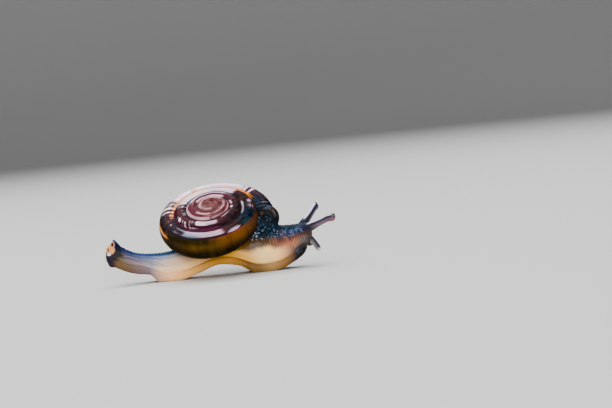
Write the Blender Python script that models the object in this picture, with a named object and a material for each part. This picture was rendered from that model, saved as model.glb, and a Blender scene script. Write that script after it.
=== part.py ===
"""A glossy striped land snail, life size, crawling with its head and tail raised.

The frame: +X points to the head, +Y to the snail's left, +Z up. The origin is
at the bottom centre of the whole animal's box. Inside this file every length
is in millimetres and x runs from the rear patch of the sole, where it first
touches the ground. The last step turns it all into metres and moves the
origin.

The shell is one solid wound by a growth rule. The soft body is one long loft,
parted into sole and back and then into tail, trunk, neck and head by thin
cuts. The collar of the mantle fills the mouth of the shell, and the feelers,
eyes, mouth lobes and tail horn are set on the ends.
"""
import math

import bmesh
import bpy
from mathutils import Matrix, Vector

MM = 0.001
CUT = 0.3                 # width of the thin cuts between neighbouring pieces
EYE_CUT = 0.1             # the same round an eye, which is much smaller

# ---------------------------------------------------------------- the shell
# Whorls are counted in turns from the apex to the lip. The suture is the line
# where one whorl meets the next; its radius grows with the turns and with
# their square.
RINGS_PER_TURN = 32       # sections of the whorl in one turn
SHELL_RINGS = 131         # and from the apex to the lip
SHELL_TURNS = SHELL_RINGS / RINGS_PER_TURN
SUTURE_STEP = 1.156
SUTURE_GROWTH = 0.168
SPIRE_SLOPE = 0.202       # fall of the suture for each mm of its radius
SPIRE_DOME = 0.0084       # and for each mm of radius squared
SUTURE_RISE = 24.0        # degrees by which a whorl rises out of its suture
SHOULDER_FALL = -66.0     # degrees at which it reaches the suture below
BASE_RADIUS = 0.50        # lowest line of the base, as a share of the whorl's radius
BASE_DEPTH = 0.60         # depth of that line under the lower suture
NAVEL_RADIUS = 0.06       # the open navel in the middle of the base
NAVEL_HEIGHT = 0.12       # how far its rim lies above the lowest line
NAVEL_SLOPE = 110.0       # degrees at which the base turns into it
NAVEL_PIT = 0.3           # mm by which its middle is deeper than its first rim
ARC_HANDLE = 0.42         # how full the arcs of the whorl's outline are
BAND_STEPS = 5            # faces across the band between two sutures
SIDE_STEPS = 6            # from that band to the lowest line
BASE_STEPS = 4            # and from there to the navel

APEX = Vector((7.66, -2.6, 12.3))
LIP_ANGLE = -3.0          # degrees of the mouth of the shell from straight ahead
SHELL_LEAN = 31.0         # the shell's axis leans to the snail's right
SHELL_PITCH = 2.8         # and its front edge is raised

# ----------------------------------------------------------------- the body
# One row for each place along the body: x, height of the sole, height of the
# back, half width of the sole, half width of the back, and its sharpness
# (under 1 is boxy, 1 is an ellipse, over 1 is a keel).
BODY = (
    (-9.4, 3.15, 7.15, 0.85, 0.95, 1.20),
    (-8.3, 2.60, 6.68, 1.05, 1.10, 1.40),
    (-7.0, 2.05, 5.80, 1.30, 1.25, 1.50),
    (-5.4, 1.65, 5.12, 1.60, 1.45, 1.50),
    (-3.6, 1.40, 4.85, 1.90, 1.65, 1.40),
    (-1.9, 0.00, 4.78, 2.15, 1.85, 1.30),
    (1.2, 0.00, 5.10, 2.40, 2.10, 1.10),
    (4.7, 0.90, 5.50, 2.55, 2.25, 1.00),
    (8.3, 1.95, 5.90, 2.55, 2.30, 0.90),
    (11.5, 1.45, 6.80, 2.65, 2.40, 0.90),
    (14.3, 0.00, 7.90, 2.75, 2.45, 0.90),
    (17.0, 0.00, 7.85, 2.65, 2.35, 0.90),
    (18.6, 0.25, 7.42, 2.50, 2.15, 0.90),
    (20.6, 1.10, 7.25, 2.15, 1.90, 0.85),
    (22.0, 1.90, 7.30, 1.70, 1.80, 0.80),
    (23.2, 2.90, 7.40, 1.10, 1.70, 0.80),
)
SOLE, BACK, SOLE_WIDTH, BACK_WIDTH, SHARPNESS = 1, 2, 3, 4, 5
SOLE_THICKNESS = 1.3      # from the sole up to the groove along the foot
SOLE_FLARE = 0.15         # the foot's edge stands out past its sole
# The foot's outline from the middle of its sole outward and up to the groove: share
# of its half width, share of the flare, share of the thickness.
SOLE_EDGE = ((0.5, 0.0, 0.0), (1.0, 0.0, 0.0), (1.0, 1.0, 0.3), (1.0, 1.0, 0.7), (1.0, 0.0, 1.0))
SECTION_STEP = 0.5        # longest step between two sections
BACK_SIDES = 14           # faces round the back
END_STEPS = 5             # sections over a rounded end
END_TURN = 82.0           # degrees of the quarter round that they cover
TAIL_END = (-10.8, 5.2, 1.4)     # x of the rounded end, its height, its radius
SOLE_TAIL_END = (-10.6, 3.95, 0.9)
HEAD_END = (24.15, 5.5, 1.25)
SOLE_HEAD_END = (23.1, 3.2, 0.8)

# The cuts that part the back and the sole, from the tail to the head.
BACK_CUTS = (("tail_end", -7.9), ("tail", -3.4), ("trunk_rear", 5.0),
             ("trunk_front", 12.6), ("neck", 20.4), ("head", None))
SOLE_CUTS = (("foot_tail", -3.4), ("foot_rear", 5.0), ("foot_middle", 12.6),
             ("foot_front", None))

# The collar is half an egg on the shell's mouth: its place by radius and height
# in the shell's own frame, and its half sizes across, outward and up.
COLLAR_CENTRE = (9.2, -4.2)
COLLAR_SIZE = Vector((1.95, 1.75, 2.15))
COLLAR_SEGMENTS = 24
COLLAR_RINGS = 14

# Feelers and horn: a path of (x, y, z, radius) from inside the body to the tip.
UPPER_RIGHT = ((21.80, -0.65, 6.00, 1.00), (23.25, -1.30, 6.42, 0.88), (24.30, -1.80, 6.80, 0.72),
               (25.25, -2.40, 7.17, 0.59), (26.40, -3.10, 7.62, 0.49), (27.10, -3.60, 7.90, 0.56),
               (27.60, -3.92, 7.98, 0.64), (28.00, -4.14, 8.02, 0.42))
UPPER_LEFT = ((22.20, 0.40, 6.35, 0.88), (22.86, 1.10, 7.12, 0.76), (23.60, 2.00, 7.94, 0.62),
              (24.22, 3.00, 8.60, 0.55), (24.74, 3.90, 9.22, 0.55), (25.08, 4.45, 9.60, 0.62),
              (25.32, 4.82, 9.88, 0.42))
LOWER_RIGHT = ((23.30, -0.40, 5.35, 0.50), (23.80, -0.62, 4.62, 0.48), (24.18, -0.86, 4.10, 0.45),
               (24.56, -1.10, 3.50, 0.43), (24.88, -1.30, 2.95, 0.44), (25.03, -1.40, 2.68, 0.30))
HORN = ((-8.60, 0.0, 6.70, 0.60), (-8.90, 0.0, 7.20, 0.42), (-9.12, 0.0, 7.80, 0.16))
TUBE_ROUNDNESS = 3        # a tube's faces: this many more in each quarter round
TUBE_STEPS = 3            # and along it between two points of its path
WELD = 0.01               # points closer than this become one
EYE_RADIUS = 0.42
EYE_OFFSET = 0.40         # from the middle of the feeler's tip, up and forward
EYE_SEGMENTS = 14

LOBE_CENTRE = Vector((23.55, -0.60, 4.10))     # the right one of the two beside the mouth
LOBE_SIZE = Vector((0.85, 0.52, 0.72))
LOBE_SEGMENTS = 18
CREASE = 55.0             # degrees between two faces from which their edge is sharp

# Colour and roughness of each sub-part; the left and right of a pair are alike.
SKINS = {
    "shell": ((0.160, 0.045, 0.020), 0.10),
    "mantle_collar": ((0.030, 0.024, 0.026), 0.15),
    "tail_end": ((0.120, 0.075, 0.110), 0.30),
    "tail": ((0.230, 0.190, 0.260), 0.35),
    "trunk_rear": ((0.480, 0.330, 0.260), 0.35),
    "trunk_front": ((0.500, 0.290, 0.110), 0.35),
    "neck": ((0.240, 0.150, 0.110), 0.30),
    "head": ((0.160, 0.110, 0.120), 0.30),
    "foot_tail": ((0.330, 0.210, 0.180), 0.40),
    "foot_rear": ((0.560, 0.330, 0.190), 0.40),
    "foot_middle": ((0.500, 0.270, 0.100), 0.40),
    "foot_front": ((0.340, 0.170, 0.080), 0.40),
    "upper_feeler": ((0.160, 0.110, 0.170), 0.30),
    "lower_feeler": ((0.230, 0.170, 0.170), 0.30),
    "mouth_lobe": ((0.080, 0.060, 0.070), 0.30),
    "tail_horn": ((0.110, 0.110, 0.230), 0.30),
    "eye": ((0.010, 0.010, 0.014), 0.08),
}


# ------------------------------------------------------------------- tools
def clear_scene():
    for item in list(bpy.data.objects):
        bpy.data.objects.remove(item, do_unlink=True)


def new_collection(name):
    collection = bpy.data.collections.new(name)
    bpy.context.scene.collection.children.link(collection)
    return collection


def new_skin(name):
    """A material of its own for one sub-part."""
    colour, roughness = SKINS[name.removesuffix("_left").removesuffix("_right")]
    material = bpy.data.materials.new(name + "_skin")
    material.use_nodes = True
    shader = material.node_tree.nodes["Principled BSDF"]
    shader.inputs["Base Color"].default_value = (*colour, 1.0)
    shader.inputs["Roughness"].default_value = roughness
    shader.inputs["Metallic"].default_value = 0.0
    return material


def adopt(item, name):
    """Names a sub-part, moves it to the animal's collection and gives it its skin."""
    item.name = name
    item.data.name = name
    for other in list(item.users_collection):
        other.objects.unlink(item)
    animal.objects.link(item)
    item.data.materials.clear()
    item.data.materials.append(new_skin(name))
    return item


def soften(mesh):
    """Shades a mesh smooth, but for its sharp edges."""
    mesh.shade_smooth()
    mesh.set_sharp_from_angle(angle=math.radians(CREASE))


def mesh_object(name, points, faces):
    """A closed body from points in millimetres and faces in any order."""
    mesh = bpy.data.meshes.new(name)
    mesh.from_pydata([Vector(point) * MM for point in points], [], faces)
    body = bmesh.new()
    body.from_mesh(mesh)
    bmesh.ops.recalc_face_normals(body, faces=body.faces)
    body.to_mesh(mesh)
    body.free()
    soften(mesh)
    return adopt(bpy.data.objects.new(name, mesh), name)


def cut_away(item, cutter):
    """Takes the cutter's space out of an object."""
    modifier = item.modifiers.new("clear_of_" + cutter.name, "BOOLEAN")
    modifier.operation = "DIFFERENCE"
    modifier.solver = "EXACT"
    modifier.object = cutter


def as_cutter(item, margin):
    """A hidden copy of an object, swollen by the margin on every side."""
    depsgraph = bpy.context.evaluated_depsgraph_get()
    mesh = bpy.data.meshes.new_from_object(item.evaluated_get(depsgraph))
    cutter = bpy.data.objects.new(item.name + "_room", mesh)
    cutter.location = item.location
    guides.objects.link(cutter)
    swell = cutter.modifiers.new("swell", "DISPLACE")
    swell.strength = margin * MM
    swell.mid_level = 0.0
    cutter.hide_render = True
    cutter.display_type = "WIRE"
    return cutter


def arc(start, end, start_degrees, end_degrees, steps):
    """Points of a smooth arc that leaves and arrives at the given slopes."""
    handle = (end - start).length * ARC_HANDLE
    leave = Vector((math.cos(math.radians(start_degrees)), math.sin(math.radians(start_degrees))))
    arrive = Vector((math.cos(math.radians(end_degrees)), math.sin(math.radians(end_degrees))))
    near = start + leave * handle
    far = end - arrive * handle
    points = []
    for step in range(steps + 1):
        t = step / steps
        s = 1.0 - t
        points.append(start * s ** 3 + near * 3 * s * s * t + far * 3 * s * t * t + end * t ** 3)
    return points


def row_value(rows, column, x):
    """A column of a table at any x, by a curve that never overshoots its rows."""
    if x <= rows[0][0]:
        return rows[0][column]
    if x >= rows[-1][0]:
        return rows[-1][column]
    last = len(rows) - 1
    spot = next(i for i in range(last) if rows[i + 1][0] >= x)

    def rise(i):
        return (rows[i + 1][column] - rows[i][column]) / (rows[i + 1][0] - rows[i][0])

    def slope(i):
        if i == 0:
            return rise(0)
        if i == last:
            return rise(last - 1)
        before, after = rise(i - 1), rise(i)
        return 0.0 if before * after <= 0.0 else 2.0 * before * after / (before + after)

    width = rows[spot + 1][0] - rows[spot][0]
    t = (x - rows[spot][0]) / width
    low, high = rows[spot][column], rows[spot + 1][column]
    return (low * (1 + 2 * t) * (1 - t) ** 2 + high * t * t * (3 - 2 * t)
            + slope(spot) * width * t * (1 - t) ** 2 - slope(spot + 1) * width * t * t * (1 - t))


# ------------------------------------------------------------------ shell
def suture(turns):
    """Radius and height of the suture, measured from the apex."""
    radius = SUTURE_STEP * turns + SUTURE_GROWTH * turns ** 2
    return Vector((radius, -SPIRE_SLOPE * radius - SPIRE_DOME * radius ** 2))


def whorl_band(turns):
    """The whorl's outline between its own suture and the next one."""
    rise = SUTURE_RISE * min(1.0, turns)
    return arc(suture(turns), suture(turns + 1), rise, SHOULDER_FALL, BAND_STEPS)


def whorl_base(turns):
    """The last whorl's outline from there round its side to the navel."""
    lower = suture(turns + 1)
    lowest = Vector((lower.x * BASE_RADIUS, lower.y - lower.x * BASE_DEPTH))
    navel = Vector((lower.x * NAVEL_RADIUS, lowest.y + lower.x * NAVEL_HEIGHT))
    side = arc(lower, lowest, SHOULDER_FALL, -180.0, SIDE_STEPS)
    under = arc(lowest, navel, 180.0, NAVEL_SLOPE, BASE_STEPS)
    return side + under[1:]


def shell_place():
    """Turns the shell's own frame, with its axis up, into the snail's."""
    lean = Matrix.Rotation(math.radians(SHELL_LEAN), 4, "X")
    pitch = Matrix.Rotation(math.radians(-SHELL_PITCH), 4, "Y")
    return Matrix.Translation(APEX) @ pitch @ lean


def make_shell():
    """Winds the whorls into one solid: their bands, the last one's base, the mouth."""
    place = shell_place()
    points = []

    def add(turns, outline_point):
        angle = math.radians(LIP_ANGLE) + 2 * math.pi * (SHELL_TURNS - turns)
        radius, height = outline_point
        points.append(place @ Vector((radius * math.cos(angle), radius * math.sin(angle), height)))
        return len(points) - 1

    bands = []
    for ring in range(SHELL_RINGS + 1):
        turns = ring / RINGS_PER_TURN
        bands.append([add(turns, point) for point in whorl_band(turns)[:-1]])
    for ring in range(SHELL_RINGS + 1):
        turns = ring / RINGS_PER_TURN
        if ring + RINGS_PER_TURN <= SHELL_RINGS:
            bands[ring].append(bands[ring + RINGS_PER_TURN][0])
        else:
            bands[ring].append(add(turns, suture(turns + 1)))

    first = SHELL_RINGS - RINGS_PER_TURN
    bases = {}
    for ring in range(first, SHELL_RINGS + 1):
        turns = ring / RINGS_PER_TURN
        bases[ring] = [bands[ring][-1]] + [add(turns, point) for point in whorl_base(turns)[1:]]
    navel_top = add(SHELL_TURNS, (0.0, whorl_base(SHELL_TURNS - 1)[-1].y + NAVEL_PIT))

    faces = []
    for ring in range(SHELL_RINGS):
        for a, b, c, d in zip(bands[ring], bands[ring + 1], bands[ring + 1][1:], bands[ring][1:]):
            faces.append((a, b, c, d))
    for ring in range(first, SHELL_RINGS):
        for a, b, c, d in zip(bases[ring], bases[ring + 1], bases[ring + 1][1:], bases[ring][1:]):
            faces.append((a, b, c, d))
        faces.append((bases[ring][-1], bases[ring + 1][-1], navel_top))
    for ring in range(1, RINGS_PER_TURN - 1):
        faces.append((bands[0][0], bands[ring][0], bands[ring + 1][0]))
    faces.append((bands[RINGS_PER_TURN - 1][0], *reversed(bands[0])))
    mouth = bands[-1] + bases[SHELL_RINGS][1:] + [navel_top] + bases[first][:0:-1]
    faces.append(tuple(mouth))
    return mesh_object("shell", points, faces)


# ------------------------------------------------------------------- body
def end_scale(x, end, forward):
    """How much a section shrinks where the body rounds off to its end."""
    tip, _, radius = end
    depth = (x - (tip - radius)) if forward else ((tip + radius) - x)
    if depth <= 0.0:
        return 1.0
    return math.sqrt(max(0.0, 1.0 - (depth / radius) ** 2))


def back_section(x):
    """The outline of the back at x, from its right edge over to its left."""
    floor = row_value(BODY, SOLE, x) + SOLE_THICKNESS + CUT
    top = row_value(BODY, BACK, x)
    width = row_value(BODY, BACK_WIDTH, x)
    sharpness = row_value(BODY, SHARPNESS, x)
    outline = []
    for side in range(BACK_SIDES + 1):
        angle = math.pi * side / BACK_SIDES
        across = -math.copysign(abs(math.cos(angle)) ** sharpness, math.cos(angle))
        outline.append((width * across, floor + (top - floor) * math.sin(angle)))
    return shrink(outline, x, TAIL_END, HEAD_END)


def sole_section(x):
    """The outline of the foot at x, from its sole round to the groove."""
    floor = row_value(BODY, SOLE, x)
    width = row_value(BODY, SOLE_WIDTH, x)
    left = [(width * across + SOLE_FLARE * flare, floor + SOLE_THICKNESS * up)
            for across, flare, up in SOLE_EDGE]
    outline = [(-y, z) for y, z in reversed(left)] + left
    return shrink(outline, x, SOLE_TAIL_END, SOLE_HEAD_END)


def shrink(outline, x, tail_end, head_end):
    """Draws a section together where it lies on one of the two rounded ends."""
    for end, forward in ((tail_end, False), (head_end, True)):
        scale = end_scale(x, end, forward)
        outline = [(y * scale, end[1] + (z - end[1]) * scale) for y, z in outline]
    return [Vector((x, y, z)) for y, z in outline]


def section_places(start, stop, tail_end, head_end):
    """Places of the sections from start to stop; None stands for a rounded end."""
    turns = [math.radians(END_TURN * (step + 1) / END_STEPS) for step in range(END_STEPS)]
    tail = [tail_end[0] + tail_end[2] * (1.0 - math.sin(turn)) for turn in reversed(turns)]
    head = [head_end[0] - head_end[2] * (1.0 - math.sin(turn)) for turn in turns]
    low = tail_end[0] + tail_end[2] if start is None else start + CUT / 2
    high = head_end[0] - head_end[2] if stop is None else stop - CUT / 2
    steps = math.ceil((high - low) / SECTION_STEP)
    places = [low + (high - low) * step / steps for step in range(steps + 1)]
    return (tail if start is None else []) + places + (head if stop is None else [])


def loft(name, sections):
    """Joins like sections into one closed body with flat or pointed ends."""
    points = [point for section in sections for point in section]
    count = len(sections[0])
    faces = [tuple(range(count)), tuple(range(len(points) - count, len(points)))]
    for ring in range(len(sections) - 1):
        for side in range(count):
            a = ring * count + side
            b = ring * count + (side + 1) % count
            faces.append((a, b, b + count, a + count))
    return mesh_object(name, points, faces)


def make_body(cuts, section, tail_end, head_end):
    """Parts one long loft at its cuts and returns the pieces by name."""
    pieces = {}
    start = None
    for name, stop in cuts:
        places = section_places(start, stop, tail_end, head_end)
        pieces[name] = loft(name, [section(x) for x in places])
        start = stop
    return pieces


# ------------------------------------------------------- collar and feelers
def make_ball(name, centre, size, segments):
    """An egg-shaped body from its centre and its half sizes."""
    bpy.ops.mesh.primitive_uv_sphere_add(segments=segments, ring_count=segments // 2,
                                         radius=1.0, location=centre * MM)
    ball = adopt(bpy.context.object, name)
    ball.data.transform(Matrix.Diagonal((*(size * MM), 1.0)))
    ball.data.shade_smooth()
    return ball


def make_collar():
    """The thick rim of the mantle, which bulges out of the shell's mouth."""
    body = bmesh.new()
    bmesh.ops.create_uvsphere(body, u_segments=COLLAR_SEGMENTS, v_segments=COLLAR_RINGS, radius=1.0)
    everything = body.verts[:] + body.edges[:] + body.faces[:]
    cut = bmesh.ops.bisect_plane(body, geom=everything, plane_co=(0.0, -CUT / COLLAR_SIZE.y, 0.0),
                                 plane_no=(0.0, 1.0, 0.0), clear_outer=True)
    rim = [item for item in cut["geom_cut"] if isinstance(item, bmesh.types.BMEdge)]
    bmesh.ops.holes_fill(body, edges=rim, sides=0)
    mesh = bpy.data.meshes.new("mantle_collar")
    body.to_mesh(mesh)
    body.free()
    radius, height = COLLAR_CENTRE
    turn = Matrix.Rotation(math.radians(LIP_ANGLE), 4, "Z")
    centre = Matrix.Translation(Vector((radius, 0.0, height)))
    shape = Matrix.Diagonal((*COLLAR_SIZE, 1.0))
    mesh.transform(Matrix.Scale(MM, 4) @ shell_place() @ turn @ centre @ shape)
    soften(mesh)
    return adopt(bpy.data.objects.new("mantle_collar", mesh), "mantle_collar")


def make_feeler(name, path):
    """A tapered tube along a path, with rounded ends, as a mesh."""
    curve = bpy.data.curves.new(name, "CURVE")
    curve.dimensions = "3D"
    curve.bevel_depth = MM
    curve.bevel_resolution = TUBE_ROUNDNESS
    curve.use_fill_caps = True
    curve.resolution_u = TUBE_STEPS
    spline = curve.splines.new("BEZIER")
    spline.bezier_points.add(len(path) - 1)
    for knot, (x, y, z, radius) in zip(spline.bezier_points, path):
        knot.co = Vector((x, y, z)) * MM
        knot.radius = radius
        knot.handle_left_type = "AUTO"
        knot.handle_right_type = "AUTO"
    guide = bpy.data.objects.new(name, curve)
    guides.objects.link(guide)
    depsgraph = bpy.context.evaluated_depsgraph_get()
    mesh = bpy.data.meshes.new_from_object(guide.evaluated_get(depsgraph))
    bpy.data.objects.remove(guide, do_unlink=True)
    body = bmesh.new()
    body.from_mesh(mesh)
    bmesh.ops.remove_doubles(body, verts=body.verts, dist=WELD * MM)
    bmesh.ops.recalc_face_normals(body, faces=body.faces)
    body.to_mesh(mesh)
    body.free()
    soften(mesh)
    return adopt(bpy.data.objects.new(name, mesh), name)


def make_eye(name, path):
    """A dark bead sunk in the tip of an upper feeler."""
    tip = Vector(path[-2][:3])
    outward = (tip - Vector(path[-3][:3])).normalized()
    upward = Vector((0.0, 0.0, 1.0))
    centre = tip + (outward + upward).normalized() * EYE_OFFSET
    return make_ball(name, centre, Vector((1.0, 1.0, 1.0)) * EYE_RADIUS, EYE_SEGMENTS)


def stand_on_origin():
    """Hangs all on one empty, which brings the origin under the middle of the animal."""
    depsgraph = bpy.context.evaluated_depsgraph_get()
    corners = []
    for item in animal.objects:
        shape = item.evaluated_get(depsgraph)
        corners += [shape.matrix_world @ Vector(corner) for corner in shape.bound_box]
    low = [min(corner[axis] for corner in corners) for axis in range(3)]
    high = [max(corner[axis] for corner in corners) for axis in range(3)]
    root = bpy.data.objects.new("snail", None)
    root.location = (-(low[0] + high[0]) / 2, -(low[1] + high[1]) / 2, -low[2])
    for item in (*animal.objects, *guides.objects):
        item.parent = root
    animal.objects.link(root)


# -------------------------------------------------------------- assembly
clear_scene()
animal = new_collection("striped_snail")
guides = new_collection("guides")

shell = make_shell()
shell_room = as_cutter(shell, CUT)
collar = make_collar()
collar_room = as_cutter(collar, CUT)
cut_away(collar, shell_room)

back = make_body(BACK_CUTS, back_section, TAIL_END, HEAD_END)
foot = make_body(SOLE_CUTS, sole_section, SOLE_TAIL_END, SOLE_HEAD_END)
for name in ("trunk_rear", "trunk_front", "neck"):
    cut_away(back[name], shell_room)
for name in ("trunk_front", "neck"):
    cut_away(back[name], collar_room)
head_room = as_cutter(back["head"], CUT)
foot_room = as_cutter(foot["foot_front"], CUT)
tail_room = as_cutter(back["tail_end"], CUT)

for side, path in (("right", UPPER_RIGHT), ("left", UPPER_LEFT)):
    feeler = make_feeler("upper_feeler_" + side, path)
    cut_away(feeler, head_room)
    eye = make_eye("eye_" + side, path)
    cut_away(feeler, as_cutter(eye, EYE_CUT))

for side, across in (("right", 1.0), ("left", -1.0)):
    path = tuple((x, y * across, z, radius) for x, y, z, radius in LOWER_RIGHT)
    feeler = make_feeler("lower_feeler_" + side, path)
    cut_away(feeler, head_room)
    lobe = make_ball("mouth_lobe_" + side, LOBE_CENTRE * Vector((1.0, across, 1.0)), LOBE_SIZE, LOBE_SEGMENTS)
    cut_away(lobe, head_room)
    cut_away(lobe, foot_room)
    cut_away(lobe, as_cutter(feeler, CUT))

horn = make_feeler("tail_horn", HORN)
cut_away(horn, tail_room)
stand_on_origin()
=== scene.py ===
"""The looks of the striped snail: its shell, its one skin and its eyes, on a pale floor.

Shapes are made in millimetres in the snail's own frame: x runs from the rear patch of
the sole towards the head, y to the snail's left, z up. They follow the same rules as
the solids, in finer steps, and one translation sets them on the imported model.
"""

import math

import bmesh
import bpy
import numpy as np
from mathutils import Matrix, Vector, noise


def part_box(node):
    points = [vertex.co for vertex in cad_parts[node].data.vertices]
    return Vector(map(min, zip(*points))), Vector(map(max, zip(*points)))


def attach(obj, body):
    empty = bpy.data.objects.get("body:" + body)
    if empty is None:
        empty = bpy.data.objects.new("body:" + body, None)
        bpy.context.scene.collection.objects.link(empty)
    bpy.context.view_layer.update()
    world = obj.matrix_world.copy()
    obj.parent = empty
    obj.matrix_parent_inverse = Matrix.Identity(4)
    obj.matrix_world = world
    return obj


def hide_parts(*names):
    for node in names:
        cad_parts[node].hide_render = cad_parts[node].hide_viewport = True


MM = 0.001
CUT = 0.3                 # width of the cuts between the solids

# ---- the shell
RINGS_PER_TURN = 640      # sections of the whorl in one turn
SHELL_TURNS = 131 / 32    # from the apex to the lip
SUTURE_STEP = 1.156       # radius of the suture: this times the turns
SUTURE_GROWTH = 0.168     # and this times their square
SPIRE_SLOPE = 0.202
SPIRE_DOME = 0.0084
SUTURE_RISE = 24.0
SHOULDER_FALL = -66.0
BASE_RADIUS = 0.5
BASE_DEPTH = 0.6
NAVEL_RADIUS = 0.06
NAVEL_HEIGHT = 0.12
NAVEL_SLOPE = 110.0
ARC_HANDLE = 0.42
BAND_STEPS = 18
SIDE_STEPS = 22
BASE_STEPS = 12
APEX = Vector((7.66, -2.6, 12.3))
LIP_ANGLE = -3.0
SHELL_LEAN = 31.0
SHELL_PITCH = 2.8
LIP_THICKNESS = 0.96      # the inner edge of the lip, as a share of the mouth
MOUTH_DEPTH = 9.0         # degrees by which the mouth is hollow
MOUTH_NARROWING = 0.86    # and its size there, as a share of the mouth
RIB_SIZES = (0.3, 0.5)    # of the fine and the coarse ribs, in millimetres
RIB_HEIGHT = 0.025
RIB_SAMPLES = 9000

# Marks on the whorls: first and last turn, first and last share of the way across the
# whorl (0 at its upper suture, 1 at its lower), and how strong the mark is.
# These pale marks are painted reflections of a bright sky on the glossy whorls, with some pale haze
# of the shell's own.
PALE_REFLECTIONS = (
    (3.295, 3.45, 0.22, 0.66, 1.0), (3.43, 3.5, 0.24, 0.36, 0.7), (3.5, 3.55, 0.3, 0.42, 0.6),
    (3.46, 3.51, 0.48, 0.62, 0.6), (3.225, 3.275, 0.56, 0.76, 0.9), (3.05, 3.16, 0.02, 0.15, 0.8),
    (3.055, 3.075, 0.35, 0.7, 0.9), (3.09, 3.11, 0.35, 0.75, 0.9), (3.6, 4.0, 0.06, 0.82, 1.0),
    (3.98, 4.02, 0.4, 0.8, 0.6), (4.055, 4.075, 0.3, 0.7, 0.8), (2.62, 2.96, 0.12, 0.92, 1.0),
    (2.55, 2.66, 0.05, 0.32, 0.9), (2.44, 2.56, 0.55, 0.8, 0.9), (2.41, 2.5, 0.8, 0.94, 0.9),
    (2.3, 2.47, 0.2, 0.62, 0.8), (2.17, 2.27, 0.05, 0.2, 0.7), (2.04, 2.16, 0.08, 0.26, 0.8),
    (1.92, 2.02, 0.5, 0.8, 0.4), (1.68, 1.96, 0.05, 0.24, 0.8), (1.66, 1.95, 0.45, 0.9, 0.9),
    (1.34, 1.66, 0.72, 0.97, 0.9), (1.33, 1.5, 0.22, 0.42, 0.8), (1.02, 1.32, 0.3, 0.52, 0.6),
    (1.1, 1.34, 0.76, 0.9, 0.7), (0.55, 1.0, 0.35, 0.6, 0.8), (0.8, 1.2, 0.78, 0.92, 0.8),
    (0.3, 0.62, 0.45, 0.75, 0.7))
# These amber marks are the shell's own amber, made brighter as a painted glow of light shining
# through the thin shell.
AMBER_GLOW = (
    (3.56, 3.66, 0.0, 0.26, 0.8), (3.62, 4.03, -0.2, 0.15, 1.0), (3.93, 4.03, 0.0, 0.17, 0.7),
    (2.68, 2.98, 0.9, 1.2, 1.0), (3.765, 3.785, 0.0, 0.4, 1.0), (3.635, 3.65, 0.3, 0.8, 0.7),
    (2.95, 3.04, 0.74, 1.0, 1.0), (4.035, 4.06, 0.55, 0.8, 0.6), (3.5, 3.6, 1.0, 1.07, 1.0),
    (2.09, 2.16, 0.78, 0.92, 0.2))
# These teal marks are painted glints, small teal and light-blue reflections on the whorls.
TEAL_GLINTS = (
    (2.66, 2.97, -0.1, 0.1, 1.0), (1.68, 1.95, 0.95, 1.1, 0.9), (3.385, 3.44, 0.52, 0.7, 0.7),
    (3.175, 3.205, 0.56, 0.82, 0.9), (3.12, 3.14, 0.55, 0.8, 0.7))
CRIMSON = (
    (2.3, 2.62, 0.84, 0.97, 1.0), (3.28, 3.46, 0.02, 0.14, 0.8), (1.75, 2.0, 0.3, 0.4, 0.8),
    (1.45, 1.62, 0.15, 0.6, 0.6), (2.4, 2.5, 0.02, 0.16, 0.4))
MARK_EDGES = (0.022, 0.05)    # softness of a mark's edges, in turns and across
RIBBED = ((2.0, 2.18), (2.42, 2.7), (3.5, 3.7), (3.96, 4.1))    # turns with coarse ribs

# ---- the body
# x, height of the sole, height of the back, half width of the sole, half width of
# the back, and its sharpness (under 1 is boxy, 1 is an ellipse, over 1 is a keel).
BODY = np.array((
    (-9.4, 3.15, 7.15, 0.85, 0.95, 1.20),
    (-8.3, 2.60, 6.68, 1.05, 1.10, 1.40),
    (-7.0, 2.05, 5.80, 1.30, 1.25, 1.50),
    (-5.4, 1.65, 5.12, 1.60, 1.45, 1.50),
    (-3.6, 1.40, 4.85, 1.90, 1.65, 1.40),
    (-1.9, 0.00, 4.78, 2.15, 1.85, 1.30),
    (1.2, 0.00, 5.10, 2.40, 2.10, 1.10),
    (4.7, 0.90, 5.50, 2.55, 2.25, 1.00),
    (8.3, 1.95, 5.90, 2.55, 2.30, 0.90),
    (11.5, 1.45, 6.80, 2.65, 2.40, 0.90),
    (14.3, 0.00, 7.90, 2.75, 2.45, 0.90),
    (17.0, 0.00, 7.85, 2.65, 2.35, 0.90),
    (18.6, 0.25, 7.42, 2.50, 2.15, 0.90),
    (20.6, 1.10, 7.25, 2.15, 1.90, 0.85),
    (22.0, 1.90, 7.30, 1.70, 1.80, 0.80),
    (23.2, 2.90, 7.40, 1.10, 1.70, 0.80),
))
SOLE, BACK, SOLE_WIDTH, BACK_WIDTH, SHARPNESS = 1, 2, 3, 4, 5
SOLE_THICKNESS = 1.3
SOLE_FLARE = 0.15
SOLE_ROUND = 0.38         # how far the foot's edge curves in, above and below
GROOVE_STEPS = np.linspace(-1.6, 1.6, 9)
HEAD_CUT = 20.4           # where the head's solid begins
TAIL_END = (-10.8, 5.2, 1.4)
SOLE_TAIL_END = (-10.6, 3.95, 0.9)
HEAD_END = (24.15, 5.5, 1.25)
SOLE_HEAD_END = (23.1, 3.2, 0.8)
COLLAR_CENTRE = (9.2, -4.2)
COLLAR_SIZE = Vector((1.95, 1.75, 2.15))
ROLL_SCALE = 0.84         # the mantle's edge, as a share of the shell's mouth
ROLL_RADIUS = 0.62
# More flesh, as centre and half sizes: under the collar, behind it, and at the tail's end.
SHOULDERS = (
    ((15.9, -1.5, 7.9), (1.7, 1.2, 1.5)), ((14.2, -2.0, 8.2), (1.8, 1.3, 1.6)),
    ((17.3, -1.3, 7.7), (1.4, 1.1, 1.3)))
TAIL_PAD = ((-9.75, 0.0, 4.75), (1.16, 0.95, 1.25))
BREATHING_HOLE = (16.15, -2.6, 9.9)
HOLE_SIZE = (0.42, 1.0, 0.34)
HOLE_STAIN = (0.42, 1.0, 0.4)

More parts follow.
